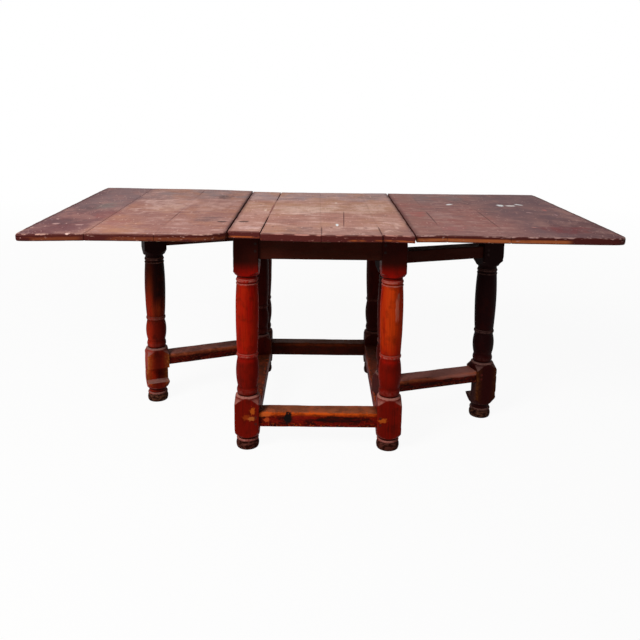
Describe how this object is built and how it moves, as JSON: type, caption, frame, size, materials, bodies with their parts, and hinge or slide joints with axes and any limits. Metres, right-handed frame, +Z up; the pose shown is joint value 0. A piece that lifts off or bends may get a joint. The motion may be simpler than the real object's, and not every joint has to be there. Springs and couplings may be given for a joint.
{
  "type": "gate-leg drop-leaf table",
  "caption": "Painted pine gate-leg table: a framed centre on turned legs, two hinged leaves, and swinging turned gate legs that hold the leaves up.",
  "frame": {"origin": "on the floor, under the middle of the opened top", "axes": "+X along the opened top towards the right-hand leaf, -Y towards the front, +Z up"},
  "size_m": [1.883, 1.0374, 0.76],
  "materials": {
    "centre_top_paint": "worn brown-red paint on pine, scrubbed through to pinkish wood",
    "left_leaf_paint": "worn mauve-brown paint on pine",
    "right_leaf_paint": "worn purple-brown paint on pine",
    "leg_red_paint": "old red distemper on pine, rubbed",
    "rail_paint": "old red-brown paint worn to dark wood",
    "gate_dark_paint": "dark red-brown paint on pine",
    "peg_wood": "whittled pine pegs under the same paint",
    "bare_pine": "unpainted aged pine",
    "forged_iron": "hand-forged, dark with old rust"
  },
  "bodies": {
    "frame": {"centre_board_left": "centre_top_paint", "centre_board_right": "centre_top_paint", "centre_board_second": "centre_top_paint", "centre_board_third": "centre_top_paint", "centre_top_pegs": "peg_wood", "frame_hinge_nails": "forged_iron", "frame_joint_pegs": "peg_wood", "front_apron": "rail_paint", "front_left_leg": "leg_red_paint", "front_right_leg": "leg_red_paint", "front_stretcher": "rail_paint", "left_apron": "rail_paint", "left_front_hinge_fixed_wing": "forged_iron", "left_front_hinge_pin": "forged_iron", "left_rear_hinge_fixed_wing": "forged_iron", "left_rear_hinge_pin": "forged_iron", "left_stretcher": "rail_paint", "rear_apron": "rail_paint", "rear_left_leg": "leg_red_paint", "rear_right_leg": "leg_red_paint", "rear_stretcher": "rail_paint", "right_apron": "rail_paint", "right_front_hinge_fixed_wing": "forged_iron", "right_front_hinge_pin": "forged_iron", "right_rear_hinge_fixed_wing": "forged_iron", "right_rear_hinge_pin": "forged_iron", "right_stretcher": "rail_paint"},
    "left_gate": {"left_gate_leg": "gate_dark_paint", "left_gate_pegs": "peg_wood", "left_gate_rail": "gate_dark_paint", "left_gate_stretcher": "gate_dark_paint", "left_pivot_post": "gate_dark_paint"},
    "right_gate": {"right_gate_leg": "gate_dark_paint", "right_gate_pegs": "peg_wood", "right_gate_rail": "gate_dark_paint", "right_gate_stretcher": "gate_dark_paint", "right_pivot_post": "gate_dark_paint"},
    "left_leaf": {"left_front_hinge_leaf_wing": "forged_iron", "left_leaf_front_batten": "bare_pine", "left_leaf_hinge_nails": "forged_iron", "left_leaf_inner_board": "left_leaf_paint", "left_leaf_middle_board": "left_leaf_paint", "left_leaf_outer_board": "left_leaf_paint", "left_leaf_pegs": "peg_wood", "left_leaf_rear_batten": "bare_pine", "left_rear_hinge_leaf_wing": "forged_iron"},
    "right_leaf": {"right_front_hinge_leaf_wing": "forged_iron", "right_leaf_front_batten": "bare_pine", "right_leaf_hinge_nails": "forged_iron", "right_leaf_inner_board": "right_leaf_paint", "right_leaf_middle_board": "right_leaf_paint", "right_leaf_outer_board": "right_leaf_paint", "right_leaf_pegs": "peg_wood", "right_leaf_rear_batten": "bare_pine", "right_rear_hinge_leaf_wing": "forged_iron"}
  },
  "joints": [
    {"name": "left_gate_swing", "type": "hinge", "parent": "frame", "child": "left_gate", "pos_m": [-0.238, 0.1935, 0.394], "axis": [0, 0, 1], "range_deg": [-20, 67.6]},
    {"name": "right_gate_swing", "type": "hinge", "parent": "frame", "child": "right_gate", "pos_m": [0.238, -0.1935, 0.394], "axis": [0, 0, 1], "range_deg": [-15, 72]},
    {"name": "left_leaf_lift", "type": "hinge", "parent": "frame", "child": "left_leaf", "pos_m": [-0.29, 0, 0.735], "axis": [0, 1, 0], "range_deg": [0, 6]},
    {"name": "right_leaf_lift", "type": "hinge", "parent": "frame", "child": "right_leaf", "pos_m": [0.29, 0, 0.735], "axis": [0, -1, 0], "range_deg": [0, 6]}
  ]
}
